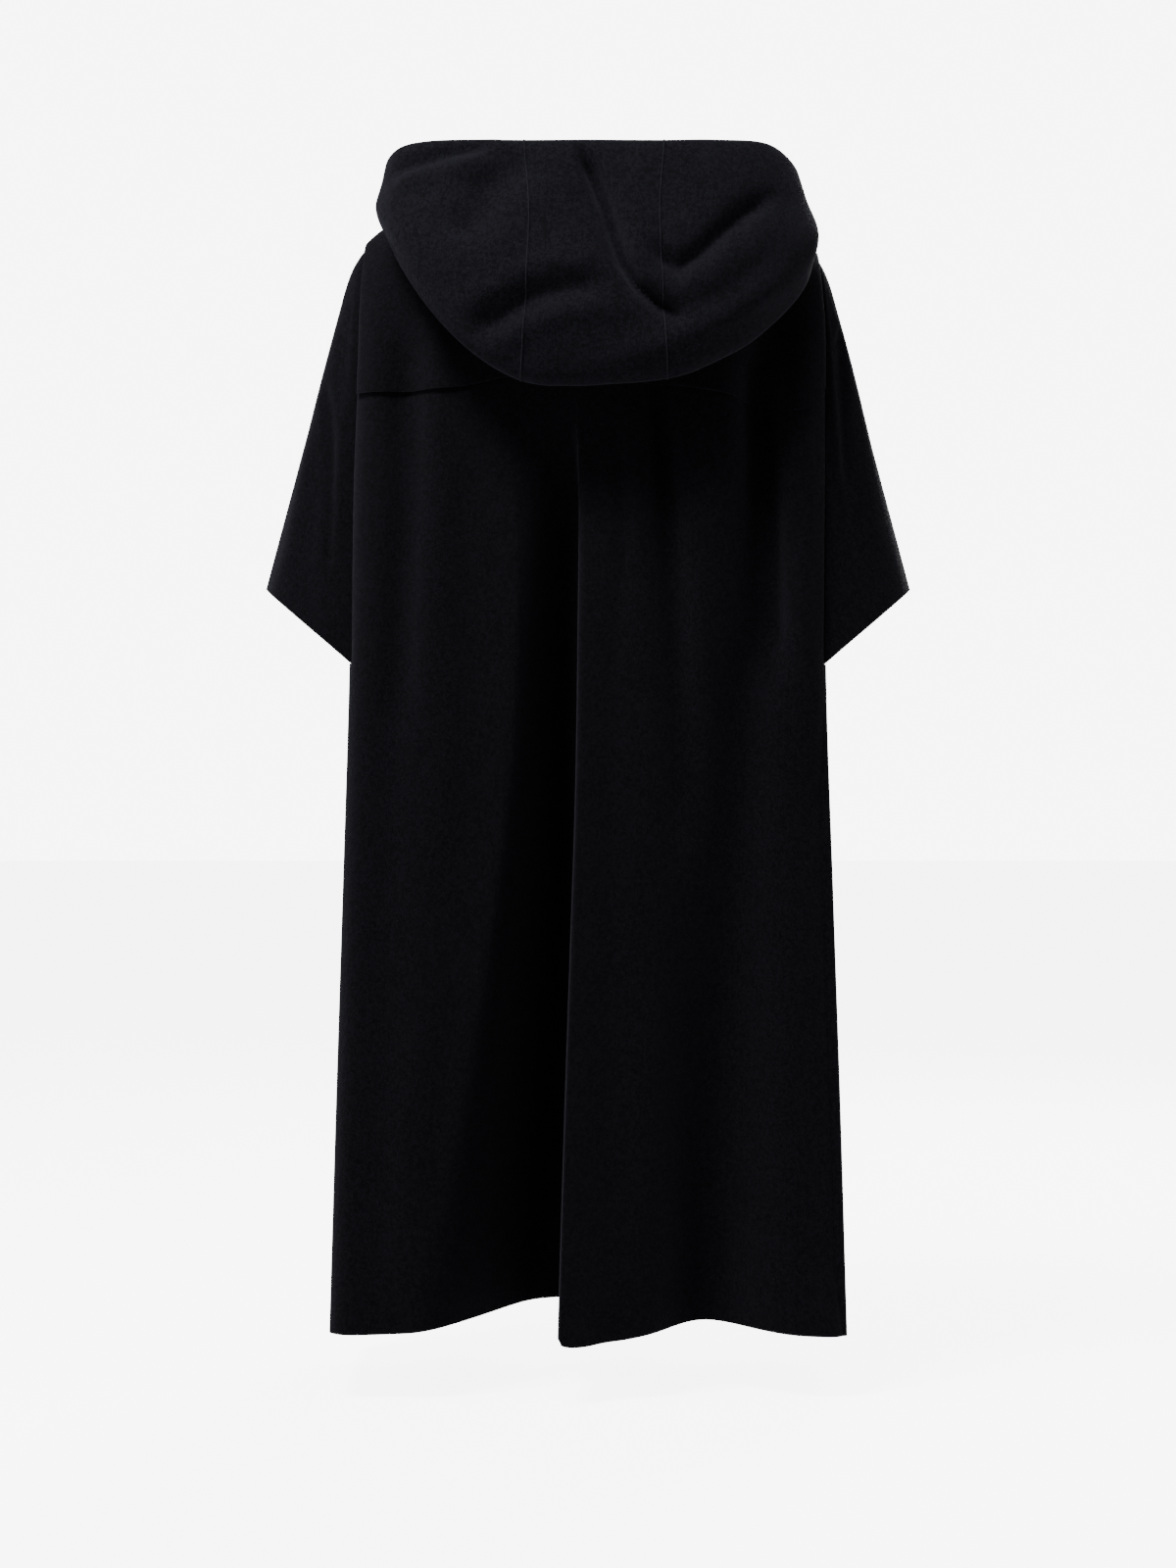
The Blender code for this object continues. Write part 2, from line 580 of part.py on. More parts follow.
class Cloth:
    """A patch of the skin: quads of points, later cut back at its seams and thickened."""

    def __init__(self, name, grid, outward, seams=("top",)):
        self.name = name
        self.seams = seams
        self.points = []
        self.index = {}
        self.quads = []
        seen = {}
        for r, row in enumerate(grid):
            for c, point in enumerate(row):
                if point is None:
                    continue
                key = tuple(round(value, 6) for value in point)
                if key not in seen:
                    seen[key] = len(self.points)
                    self.points.append(point.copy())
                self.index[r, c] = seen[key]
        for r in range(len(grid) - 1):
            for c in range(len(grid[0]) - 1):
                corners = [self.index.get(at) for at in ((r, c), (r + 1, c), (r + 1, c + 1), (r, c + 1))]
                if None in corners:
                    continue
                corners = list(dict.fromkeys(corners))
                if len(corners) > 2:
                    self.quads.append(corners if outward > 0 else corners[::-1])

    def normals(self):
        found = [Vector((0, 0, 0)) for _ in self.points]
        for quad in self.quads:
            a, b, c = (self.points[i] for i in quad[:3])
            d = self.points[quad[-1]]
            area = (c - a).cross(d - b) if len(quad) == 4 else (b - a).cross(c - a)
            for i in quad:
                found[i] += area
        return found

    def boundary(self):
        """Directed edges that only one quad has."""
        edges = {}
        for quad in self.quads:
            for a, b in zip(quad, quad[1:] + quad[:1]):
                edges[a, b] = True
        return [(a, b) for a, b in edges if (b, a) not in edges]


def place_key(point):
    return tuple(round(value, 5) for value in point)


def shared_normals(cloths):
    """One normal for each place, so that the pieces' edges stay parallel at a seam."""
    total = {}
    for cloth in cloths:
        for point, normal in zip(cloth.points, cloth.normals()):
            key = place_key(point)
            total[key] = total.get(key, Vector((0, 0, 0))) + normal
    return total


def seam_places(cloths):
    """Places that more than one piece has, which are its seams."""
    count = {}
    for cloth in cloths:
        for key in {place_key(point) for point in cloth.points}:
            count[key] = count.get(key, 0) + 1
    return {key for key, times in count.items() if times > 1}


def cut_back(cloth, normals, places, by):
    """Moves the seam's points into the piece, in the plane of the cloth."""
    moves = {}
    for a, b in cloth.boundary():
        if place_key(cloth.points[a]) in places and place_key(cloth.points[b]) in places:
            along = cloth.points[b] - cloth.points[a]
            if along.length < 1e-7:
                continue
            inward = (normals[a] + normals[b]).cross(along).normalized()
            for i in (a, b):
                moves.setdefault(i, []).append(inward)
    for i, directions in moves.items():
        total = sum(directions, Vector((0, 0, 0)))
        middle = total.normalized()
        least = min(max(middle.dot(direction), 0.35) for direction in directions)
        cloth.points[i] = cloth.points[i] + middle * by / least


def order(point):
    """A number that rises along every seam, to tell its ends apart."""
    return point.z + 0.37 * point.x + 0.11 * point.y


def split(quad, start):
    """Two triangles whose shared diagonal leaves the corner at start."""
    if len(quad) == 3:
        return [tuple(quad)]
    a, b, c, d = (quad[(start + i) % 4] for i in range(4))
    return [(a, b, c), (a, c, d)]


def thicken(cloth, normals, lift, wall):
    """A closed body: the outer face lifted by lift, and the inner face wall below it."""
    mesh = bpy.data.meshes.new(cloth.name)
    count = len(cloth.points)
    outer = [point + normal * lift for point, normal in zip(cloth.points, normals)]
    inner = [point + normal * (lift - wall) for point, normal in zip(cloth.points, normals)]
    faces = []
    for quad in cloth.quads:
        for triangle in split(quad, quad.index(min(quad[0], quad[2])) if len(quad) == 4 else 0):
            faces.append(triangle)
            faces.append(tuple(i + count for i in reversed(triangle)))
    for a, b in cloth.boundary():
        # Both pieces at a seam split its rim along the same diagonal.
        first = order(cloth.points[a]) < order(cloth.points[b])
        faces += split((b, a, a + count, b + count), 1 if first else 0)
    mesh.from_pydata(outer + inner, [], faces)
    mesh.validate()
    return mesh


def wool(name, colour, roughness):
    material = bpy.data.materials.new(name)
    material.use_nodes = True
    shader = material.node_tree.nodes["Principled BSDF"]
    shader.inputs["Base Color"].default_value = colour
    shader.inputs["Roughness"].default_value = roughness
    shader.inputs["Metallic"].default_value = 0.0
    return material


def add(collection, mesh, material):
    node = bpy.data.objects.new(mesh.name, mesh)
    mesh.materials.append(material)
    mesh.shade_smooth()
    mesh.set_sharp_from_angle(angle=math.radians(50))
    collection.objects.link(node)
    return node


# ---------------------------------------------------------------- the garment

def yoke_grid(back):
    """The back's own points down to the flap's lower edge, drawn in a little at the seams."""
    rows = [row[4:-4] for row in back[:CAP_ROWS + 2]]
    grid = [[point.copy() for point in row] for row in rows]
    for c, (upper, lower) in enumerate(zip(rows[-2], rows[-1])):
        limit = min(read(YOKE_EDGE, "x", "z", upper.x), upper.z - YOKE_WALL)
        grid[-1][c] = upper.lerp(lower, (upper.z - limit) / (upper.z - lower.z))
        grid[0][c] = grid[0][c].lerp(grid[1][c], YOKE_IN)
    for row in grid:
        row[0] = row[0].lerp(row[1], YOKE_IN)
        row[-1] = row[-1].lerp(row[-2], YOKE_IN)
    return grid


def build():
    for node in list(bpy.data.objects):
        bpy.data.objects.remove(node, do_unlink=True)
    collection = bpy.data.collections.new("hooded_poncho")
    bpy.context.scene.collection.children.link(collection)

    back = panel_grid(back_section, 1, back_hem)
    front = panel_grid(front_section, -1, front_hem)
    arm_rows = CAP_ROWS + ARM_ROWS + 1
    left_sleeve = sleeve_grid([row[4] for row in back[:arm_rows]], [row[4] for row in front[:arm_rows]], 1)
    right_sleeve = sleeve_grid([row[-5] for row in back[:arm_rows]], [row[-5] for row in front[:arm_rows]], -1)
    hood = hood_grid(body_surface([(back[:CAP_ROWS + 4], 1), (front[:CAP_ROWS + 4], -1)]))
    turned = [list(row) for row in zip(*hood)]
    split_left = HOOD_SIDE_COLUMNS - GUSSET_COLUMNS
    split_right = HOOD_SIDE_COLUMNS + GUSSET_COLUMNS

    skin = [
        Cloth("back_panel", back, 1),
        Cloth("front_panel", front, -1),
        Cloth("sleeve_left", left_sleeve, -1),
        Cloth("sleeve_right", right_sleeve, 1),
        Cloth("hood_left", [row[:split_left + 1] for row in turned], 1),
        Cloth("hood_centre", [row[split_left:split_right + 1] for row in turned], 1),
        Cloth("hood_right", [row[split_right:] for row in turned], 1),
    ]
    total = shared_normals(skin)
    places = seam_places(skin)
    body = wool("black_wool", BLACK, 0.92)
    hood_cloth = wool("black_wool_hood", BLACK, 0.92)
    for cloth in skin:
        normals = [total[place_key(point)].normalized() for point in cloth.points]
        cut_back(cloth, normals, places, SEAM * 0.5)
        material = hood_cloth if cloth.name.startswith("hood") else body
        add(collection, thicken(cloth, normals, 0.0, WALL), material)

    yoke = Cloth("back_yoke", yoke_grid(back), 1)
    normals = [normal.normalized() for normal in yoke.normals()]
    everywhere = {place_key(point) for point in yoke.points}
    cut_back(yoke, normals, everywhere, SEAM)
    add(collection, thicken(yoke, normals, YOKE_LIFT + YOKE_WALL, YOKE_WALL), body)


build()
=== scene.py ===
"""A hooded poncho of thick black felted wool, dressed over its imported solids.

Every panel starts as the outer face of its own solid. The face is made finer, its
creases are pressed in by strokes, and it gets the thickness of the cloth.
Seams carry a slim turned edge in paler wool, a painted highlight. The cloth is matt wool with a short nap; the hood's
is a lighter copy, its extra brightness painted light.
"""

import logging
import math
from dataclasses import dataclass, field
from enum import Enum
from typing import NamedTuple

import bmesh
import bpy
import numpy as np
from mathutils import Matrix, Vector
from mathutils.kdtree import KDTree


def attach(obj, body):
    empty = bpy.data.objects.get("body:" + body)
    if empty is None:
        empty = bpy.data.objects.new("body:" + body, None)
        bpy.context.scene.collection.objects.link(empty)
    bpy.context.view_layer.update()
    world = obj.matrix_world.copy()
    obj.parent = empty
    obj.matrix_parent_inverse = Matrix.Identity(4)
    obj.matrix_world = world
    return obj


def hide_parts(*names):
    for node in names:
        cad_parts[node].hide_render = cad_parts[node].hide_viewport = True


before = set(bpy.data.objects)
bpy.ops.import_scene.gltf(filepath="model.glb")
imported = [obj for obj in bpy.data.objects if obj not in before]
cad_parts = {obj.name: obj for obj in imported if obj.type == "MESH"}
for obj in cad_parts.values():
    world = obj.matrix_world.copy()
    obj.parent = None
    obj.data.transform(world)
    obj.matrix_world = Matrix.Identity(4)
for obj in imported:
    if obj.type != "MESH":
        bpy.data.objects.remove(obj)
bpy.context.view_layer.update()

logging.basicConfig(level=logging.INFO, format="%(message)s")
log = logging.getLogger("poncho")

MM = 0.001


class Seen(Enum):
    """The plane that a stroke is drawn on."""

    FROM_BEHIND = "pixels of the picture"
    FROM_FRONT = "x and z in metres"
    FROM_ABOVE = "x and y in metres"

    def look(self, points: np.ndarray, facing: np.ndarray) -> tuple[np.ndarray, np.ndarray]:
        """Points as they lie in the plane, and how fully each shows there.

        Args:
            points: places in metres, one a row.
            facing: their normals, one a row.

        Returns:
            their places in the plane's own units, and 0 to 1 for how far each faces it.
        """
        if self is Seen.FROM_BEHIND:
            return PICTURE.pixels(points), ease((facing[:, 1] - 0.20) / 0.35)
        if self is Seen.FROM_FRONT:
            return points[:, [0, 2]], ease((-facing[:, 1] - 0.05) / 0.25)
        return points[:, [0, 1]], ease((facing[:, 2] - 0.05) / 0.25)


class Out(Enum):
    """The way a panel's outer face looks at the place where it bulges most."""

    BACK = (0, 1, 0)
    FRONT = (0, -1, 0)
    LEFT = (1, 0, 0)
    RIGHT = (-1, 0, 0)


class Stroke(NamedTuple):
    """One crease or ridge: a soft line that the cloth is pressed in or pushed out along.

    width and the points are in the units of the plane that it is drawn on, and the
    height is in millimetres, under 0 for a trough. rims is the share of the height that
    the cloth swings back by on both sides.
    """

    name: str
    height: float
    width: float
    points: tuple[tuple[float, float], ...]
    rims: float = 0.28


@dataclass(frozen=True)
class Picture:
    """The frame of the picture and the camera that sees it."""

    width: int = 1200
    height: int = 1600
    metres_per_pixel: float = 0.00093
    distance: float = 3.0
    middle: float = -0.5

    def pixels(self, points: np.ndarray) -> np.ndarray:
        """Where points of the object are seen.

        Args:
            points: places in metres, one a row.

        Returns:
            their columns and rows in the picture, one pair a row.
        """
        scale = self.distance / (self.distance - points[:, 1]) / self.metres_per_pixel
        across = self.width / 2 - points[:, 0] * scale
        down = self.height / 2 - (points[:, 2] - self.middle) * scale
        return np.stack([across, down], axis=1)

    def camera(self) -> bpy.types.Object:
        """Makes the scene's camera, straight behind the poncho."""
        data = bpy.data.cameras.new("camera")
        data.sensor_fit = "VERTICAL"
        data.sensor_height = 36.0
        data.lens = data.sensor_height * self.distance / (self.height * self.metres_per_pixel)
        camera = bpy.data.objects.new("camera", data)
        camera.location = (0.0, self.distance, self.middle)
        camera.rotation_euler = (math.pi / 2, 0.0, math.pi)
        bpy.context.scene.collection.objects.link(camera)
        bpy.context.scene.camera = camera
        return camera


PICTURE = Picture()


# ---------------------------------------------------------------- small helpers

def only(piece: bpy.types.Object) -> None:
    """Selects this piece alone and makes it the active one."""
    bpy.ops.object.select_all(action="DESELECT")
    piece.select_set(True)
    bpy.context.view_layer.objects.active = piece


def places(mesh: bpy.types.Mesh) -> np.ndarray:
    """The places of a mesh's points, one a row."""
    found = np.empty(len(mesh.vertices) * 3)
    mesh.vertices.foreach_get("co", found)
    return found.reshape(-1, 3)


def normals(mesh: bpy.types.Mesh) -> np.ndarray:
    """The normals of a mesh's points, one a row."""
    found = np.empty(len(mesh.vertices) * 3)
    mesh.vertex_normals.foreach_get("vector", found)
    return found.reshape(-1, 3)


def along(points: np.ndarray, line: np.ndarray) -> tuple[np.ndarray, np.ndarray, float]:
    """How points in a plane lie to a line of straight stretches.

    Args:
        points: places in the plane, one a row.
        line: the line's own points, one a row.

    Returns:
        each point's distance from the line, its share of the way along it, and the line's length.
    """
    lengths = np.linalg.norm(np.diff(line, axis=0), axis=1)
    before = np.concatenate([[0.0], np.cumsum(lengths)])
    nearest = np.full(len(points), np.inf)
    share = np.zeros(len(points))
    for start, end, length, so_far in zip(line, line[1:], lengths, before):
        way = (end - start) / length
        step = np.clip((points - start) @ way, 0.0, length)
        gap = np.linalg.norm(points - start - step[:, None] * way, axis=1)
        closer = gap < nearest
        nearest = np.where(closer, gap, nearest)
        share = np.where(closer, (so_far + step) / before[-1], share)
    return nearest, share, float(before[-1])


def ease(values: np.ndarray) -> np.ndarray:
    """0 up to 0, 1 from 1, smooth between."""
    values = np.clip(values, 0.0, 1.0)
    return values * values * (3 - 2 * values)


# ---------------------------------------------------------------- the wool

class NapGroup:
    """The shared effect of felted wool: matted short fibres over a soft, uneven ground."""

    NAME = "felted_nap"

    @classmethod
    def get(cls) -> bpy.types.NodeTree:
        """Builds the group the first time, and returns it."""
        if cls.NAME in bpy.data.node_groups:
            return bpy.data.node_groups[cls.NAME]
        tree = bpy.data.node_groups.new(cls.NAME, "ShaderNodeTree")
        for name, kind, start in (("Place", "NodeSocketVector", None), ("Fibre Scale", "NodeSocketFloat", 300.0),
                                  ("Patch Scale", "NodeSocketFloat", 26.0)):
            socket = tree.interface.new_socket(name, in_out="INPUT", socket_type=kind)
            if start is not None:
                socket.default_value = start
        for name in ("Height", "Shade", "Fleck"):
            tree.interface.new_socket(name, in_out="OUTPUT", socket_type="NodeSocketFloat")
        cls._fill(tree)
        return tree

    @staticmethod
    def _fill(tree: bpy.types.NodeTree) -> None:
        """Wires the group's nodes."""
        node, link = tree.nodes.new, tree.links.new
        start, end = node("NodeGroupInput"), node("NodeGroupOutput")

        mat = node("ShaderNodeTexNoise")
        mat.inputs["Detail"].default_value = 6.0
        mat.inputs["Roughness"].default_value = 0.72
        mat.inputs["Distortion"].default_value = 0.8
        link(start.outputs["Place"], mat.inputs["Vector"])
        link(start.outputs["Fibre Scale"], mat.inputs["Scale"])

        lie = node("ShaderNodeMapping")  # fibres brushed downwards are longer along Z
        lie.inputs["Scale"].default_value = (1.0, 1.0, 0.55)
        link(start.outputs["Place"], lie.inputs["Vector"])
        fibre = node("ShaderNodeTexNoise")
        fibre.inputs["Detail"].default_value = 3.0
        fibre.inputs["Roughness"].default_value = 0.6
        fibre.inputs["Distortion"].default_value = 2.0
        link(lie.outputs["Vector"], fibre.inputs["Vector"])
        link(start.outputs["Fibre Scale"], fibre.inputs["Scale"])

        patch = node("ShaderNodeTexNoise")
        patch.inputs["Detail"].default_value = 4.0
        patch.inputs["Roughness"].default_value = 0.55
        link(start.outputs["Place"], patch.inputs["Vector"])
        link(start.outputs["Patch Scale"], patch.inputs["Scale"])

        both = node("ShaderNodeMath")
        both.operation = "MULTIPLY_ADD"
        both.inputs[1].default_value = 0.6
        link(fibre.outputs["Fac"], both.inputs[0])
        link(mat.outputs["Fac"], both.inputs[2])
        pilled = node("ShaderNodeMath")
        pilled.operation = "MULTIPLY_ADD"
        pilled.inputs[1].default_value = 0.5
        link(patch.outputs["Fac"], pilled.inputs[0])
        link(both.outputs["Value"], pilled.inputs[2])
        link(pilled.outputs["Value"], end.inputs["Height"])

        shade = node("ShaderNodeMapRange")
        shade.inputs["From Min"].default_value = 0.70
        shade.inputs["From Max"].default_value = 0.94
        link(both.outputs["Value"], shade.inputs["Value"])
        blended = node("ShaderNodeMath")
        blended.operation = "MULTIPLY_ADD"
        blended.inputs[1].default_value = 0.35
        link(patch.outputs["Fac"], blended.inputs[0])
        link(shade.outputs["Result"], blended.inputs[2])
        link(blended.outputs["Value"], end.inputs["Shade"])

        lint = node("ShaderNodeTexVoronoi")
        lint.inputs["Scale"].default_value = 170.0
        link(lie.outputs["Vector"], lint.inputs["Vector"])
        rare = node("ShaderNodeMapRange")
        rare.inputs["From Min"].default_value = 0.10
        rare.inputs["From Max"].default_value = 0.03
        link(lint.outputs["Distance"], rare.inputs["Value"])
        link(rare.outputs["Result"], end.inputs["Fleck"])


@dataclass(frozen=True)
class FeltedWool:
    """Matt wool cloth with a short brushed nap."""

    name: str
    hollow: tuple[float, float, float]
    tip: tuple[float, float, float]
    sheen: float = 0.04
    sheen_tint: tuple[float, float, float] = (0.80, 0.78, 1.0)
    fibre_scale: float = 300.0
    relief: float = 0.9 * MM

    def material(self) -> bpy.types.Material:
        """Builds the material the first time, and returns it."""
        if self.name in bpy.data.materials:
            return bpy.data.materials[self.name]
        material = bpy.data.materials.new(self.name)
        material.use_nodes = True
        tree = material.node_tree
        node, link = tree.nodes.new, tree.links.new
        wool = tree.nodes["Principled BSDF"]
        wool.inputs["Roughness"].default_value = 0.95
        wool.inputs["Specular IOR Level"].default_value = 0.05
        wool.inputs["Sheen Weight"].default_value = self.sheen
        wool.inputs["Sheen Roughness"].default_value = 0.45
        wool.inputs["Sheen Tint"].default_value = (*self.sheen_tint, 1.0)

        place = node("ShaderNodeTexCoord")
        nap = node("ShaderNodeGroup")
        nap.node_tree = NapGroup.get()
        nap.inputs["Fibre Scale"].default_value = self.fibre_scale
        link(place.outputs["Object"], nap.inputs["Place"])

        ground = node("ShaderNodeMix")
        ground.data_type = "RGBA"
        ground.inputs["A"].default_value = (*self.hollow, 1.0)
        ground.inputs["B"].default_value = (*self.tip, 1.0)
        link(nap.outputs["Shade"], ground.inputs["Factor"])
        flecked = node("ShaderNodeMix")
        flecked.data_type = "RGBA"
        flecked.inputs["B"].default_value = (*[2.2 * value for value in self.tip], 1.0)
        link(ground.outputs["Result"], flecked.inputs["A"])
        link(nap.outputs["Fleck"], flecked.inputs["Factor"])
        link(flecked.outputs["Result"], wool.inputs["Base Color"])

        relief = node("ShaderNodeBump")
        relief.inputs["Strength"].default_value = 0.6
        relief.inputs["Distance"].default_value = self.relief
        link(nap.outputs["Height"], relief.inputs["Height"])
        link(relief.outputs["Normal"], wool.inputs["Normal"])
        return material


BODY_WOOL = FeltedWool("felted_wool_body", (0.0010, 0.0009, 0.0014), (0.0038, 0.0036, 0.0053))
# The hood's wool is a lighter copy of the body's; its extra brightness is painted light, standing in for the lamps
# above falling on the hood's top.
HOOD_WOOL_PAINTED_LIGHT = FeltedWool("felted_wool_hood_painted_light", (0.0019, 0.0018, 0.0026), (0.0066, 0.0064, 0.0091))
# The turned edge's wool is paler than the cloth's: a painted highlight along the seams.
EDGE_WOOL_PAINTED_HIGHLIGHT = FeltedWool("turned_edge_wool_painted_highlight", (0.0050, 0.0048, 0.0066), (0.0120, 0.0117, 0.0158), fibre_scale=500.0,
                       relief=0.3 * MM)


# ---------------------------------------------------------------- one panel of cloth

@dataclass
class Panel:
    """One sewn piece of the poncho, dressed over the solid of the same name."""

    node: str
    out: Out
    wool: FeltedWool
    cut: tuple[float, float]
    area: float
    held: str
    rests_on: tuple[str, ...]
    wall: float = 2.6 * MM
    fineness: int = 2
    strokes: dict[Seen, tuple[Stroke, ...]] = field(default_factory=dict)
    slot: str = "black_wool"
    piece: bpy.types.Object | None = None

    SHARP = math.radians(62)  # the cloth's cut edges are sharper than any of its folds
    FACING_OUT = 0.7  # an outer face's share of the way that its panel looks
    SMOOTH = math.radians(55)  # edges flatter than this are shaded round
    ROUNDS = 3  # times that the points are moved out before the rounding
    MAKES_UP = 0.9  # share of the missing way that each time makes up
    FADE = 5.0  # a stroke runs out over this many of its widths
    LONGEST_FADE = 0.25  # but over no more than this share of its length
    RIM_PLACE = 1.9  # widths from a stroke's line to its rims
    RIM_WIDTH = 0.9  # a rim's width over the stroke's own

    def build(self) -> bpy.types.Object:
        """Makes the dressed piece, still without thickness."""
        self.piece = self._outer_face()
        self._make_finer()
        self._press()
        return self.piece

    def finish(self) -> None:
        """Gives the cloth its thickness and its wool."""
        piece = self.piece
        only(piece)
        wall = piece.modifiers.new("wall", "SOLIDIFY")
        wall.thickness = self.wall
        wall.offset = -1.0
        wall.use_quality_normals = True
        bpy.ops.object.modifier_apply(modifier="wall")
        bpy.ops.object.shade_smooth_by_angle(angle=self.SMOOTH)
        piece.data.materials.clear()
        piece.data.materials.append(self.wool.material())
        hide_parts(self.node)
        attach(piece, "root")
        log.info("%s: %d faces", piece.name, len(piece.data.polygons))

    def declare(self, trims: list[bpy.types.Object]) -> None:
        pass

    def _outer_face(self) -> bpy.types.Object:
        """A merged copy of the solid, cut down to its outer face."""
        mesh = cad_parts[self.node].data.copy()
        piece = bpy.data.objects.new(f"{self.node}_cloth", mesh)
        bpy.context.scene.collection.objects.link(piece)
        only(piece)
        bpy.ops.object.mode_set(mode="EDIT")
        bpy.ops.mesh.select_all(action="SELECT")
        bpy.ops.mesh.remove_doubles(threshold=0.01 * MM)
        bpy.ops.mesh.tris_convert_to_quads(face_threshold=math.radians(75), shape_threshold=math.radians(100),
                                           topology_influence=1.2)
        bpy.ops.mesh.customdata_custom_splitnormals_clear()
        bpy.ops.mesh.select_all(action="DESELECT")
        bpy.ops.mesh.select_mode(type="FACE")
        edit = bmesh.from_edit_mesh(mesh)
        kept = self._reached(edit)
        for face in edit.faces:
            face.select_set(face not in kept)
        bmesh.update_edit_mesh(mesh)
        bpy.ops.mesh.delete(type="FACE")
        bpy.ops.object.mode_set(mode="OBJECT")
        log.info("%s: outer face of %d quads", self.node, len(mesh.polygons))
        return piece

    def _reached(self, edit: bmesh.types.BMesh) -> set[bmesh.types.BMFace]:
        """The faces that are reached from the most outward one without crossing a cut edge."""
        out = Vector(self.out.value)
        facing = [face for face in edit.faces if face.normal.dot(out) > self.FACING_OUT]
        first = max(facing, key=lambda face: face.calc_center_median().dot(out))
        found, waiting = {first}, [first]
        while waiting:
            face = waiting.pop()
            for edge in face.edges:
                if len(edge.link_faces) != 2 or edge.calc_face_angle() > self.SHARP:
                    continue
                for other in edge.link_faces:
                    if other not in found:
                        found.add(other)
                        waiting.append(other)
        return found

    def _make_finer(self) -> None:
        """Rounds the outer face through the solid's own points, fine enough for its creases."""
        mesh = self.piece.data
        aim = places(mesh)
        finer = self.piece.modifiers.new("finer", "SUBSURF")
        finer.subdivision_type = "CATMULL_CLARK"
        finer.boundary_smooth = "PRESERVE_CORNERS"
        finer.levels = finer.render_levels = 1
        for _ in range(self.ROUNDS):  # rounding draws the points in, so they start further out
            rounded = self.piece.evaluated_get(bpy.context.evaluated_depsgraph_get()).data
            missed = aim - places(rounded)[:len(aim)]
            mesh.vertices.foreach_set("co", (places(mesh) + self.MAKES_UP * missed).ravel())
            mesh.update()
            bpy.context.view_layer.update()
        finer.levels = finer.render_levels = self.fineness
        only(self.piece)
        bpy.ops.object.modifier_apply(modifier="finer")

    def _press(self) -> None:
        """Presses the strokes into the cloth."""
        mesh = self.piece.data
        points, facing = places(mesh), normals(mesh)
        lift = np.zeros(len(points))
        for plane, strokes in self.strokes.items():
            drawn, shows = plane.look(points, facing)
            for stroke in strokes:
                gap, share, length = along(drawn, np.array(stroke.points, float))
                end = min(self.LONGEST_FADE, self.FADE * stroke.width / length)
                fades = ease(share / end) * ease((1 - share) / end)
                middle = np.exp(-(gap / stroke.width) ** 2)
                rims = np.exp(-((gap / stroke.width - self.RIM_PLACE) / self.RIM_WIDTH) ** 2)
                lift += shows * fades * stroke.height * MM * (middle - stroke.rims * rims)
        mesh.vertices.foreach_set("co", (points + facing * lift[:, None]).ravel())
        mesh.update()


# ---------------------------------------------------------------- seams

@dataclass
class SeamEdge:
    """The slim turned edge that stands up along a seam between two panels."""

    name: str
    on: Panel
    beside: Panel
    radius: float = 0.6 * MM
    sunk: float = 0.30 * MM
    reach: float = 1.6 * MM
    high: float = math.inf  # the seam ends below this height
    side: int = 0  # 1 keeps to the left of the poncho, -1 to its right

    STEPS = (0.0, 0.2, 0.4, 0.6, 0.8, 1.0)  # shares along a border edge that are looked at

    def build(self) -> bpy.types.Object:
        """Makes the edge as a tube along the border that the two panels share."""
        route = self._route()
        curve = bpy.data.curves.new(self.name, "CURVE")
        curve.dimensions = "3D"
        curve.bevel_depth = self.radius
        curve.bevel_resolution = 2
        curve.use_fill_caps = True
        spline = curve.splines.new("POLY")
        spline.points.add(len(route) - 1)
        for point, place in zip(spline.points, route):
            point.co = (*place, 1.0)
        piece = bpy.data.objects.new(self.name, curve)
        bpy.context.scene.collection.objects.link(piece)
        only(piece)
        bpy.ops.object.convert(target="MESH")
        piece = bpy.context.view_layer.objects.active
        bpy.ops.object.shade_smooth()
        piece.data.materials.clear()
        # paler wool on the edge: a painted highlight along the seam
        piece.data.materials.append(EDGE_WOOL_PAINTED_HIGHLIGHT.material())
        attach(piece, "root")
        log.info("%s: %d points along the seam", self.name, len(route))
        return piece

    def _route(self) -> list[Vector]:
        """The shared border's points in order, lifted to stand just proud of the cloth."""
        mesh, other = self.on.piece.data, self.beside.piece.data
        border = bmesh.new()
        border.from_mesh(other)
        steps = [edge.verts[0].co.lerp(edge.verts[1].co, share) for edge in border.edges if edge.is_boundary
                 for share in self.STEPS]
        near = KDTree(len(steps))
        for number, step in enumerate(steps):
            near.insert(step, number)
        near.balance()
        border.free()
        edit = bmesh.new()
        edit.from_mesh(mesh)
        shared = {vertex for vertex in edit.verts
                  if vertex.is_boundary and near.find(vertex.co)[2] < self.reach
                  and vertex.co.z < self.high and self.side * vertex.co.x >= 0}
        after: dict = {}
        for vertex in shared:
            after[vertex] = [edge.other_vert(vertex) for edge in vertex.link_edges
                             if edge.is_boundary and edge.other_vert(vertex) in shared]
        ends = [vertex for vertex, others in after.items() if len(others) == 1]
        best: list = []
        for end in ends:
            chain, last = [end], None
            while True:
                following = [vertex for vertex in after[chain[-1]] if vertex is not last]
                if not following or following[0] in chain[:1]:
                    break
                last = chain[-1]
                chain.append(following[0])
            if len(chain) > len(best):
                best = chain
        route = [vertex.co + vertex.normal * (self.radius - self.sunk) for vertex in best]
        edit.free()
        return route


# ---------------------------------------------------------------- the sub-assemblies

SHOULDER_DRAGS = (  # pressed into the back and into the flap that lies on it
    Stroke("left shoulder drag", -5.0, 15, ((420, 290), (418, 400), (419, 500), (412, 600), (408, 760))),
    Stroke("left of the fold", 1.2, 15, ((486, 360), (478, 410), (456, 520), (460, 700), (452, 900))),
    Stroke("right inner drag", -6.0, 14, ((660, 330), (668, 400), (677, 500), (690, 640), (700, 880))),
    Stroke("right outer drag", -13.0, 18, ((796, 290), (778, 385), (782, 500), (785, 610), (786, 720))),
)


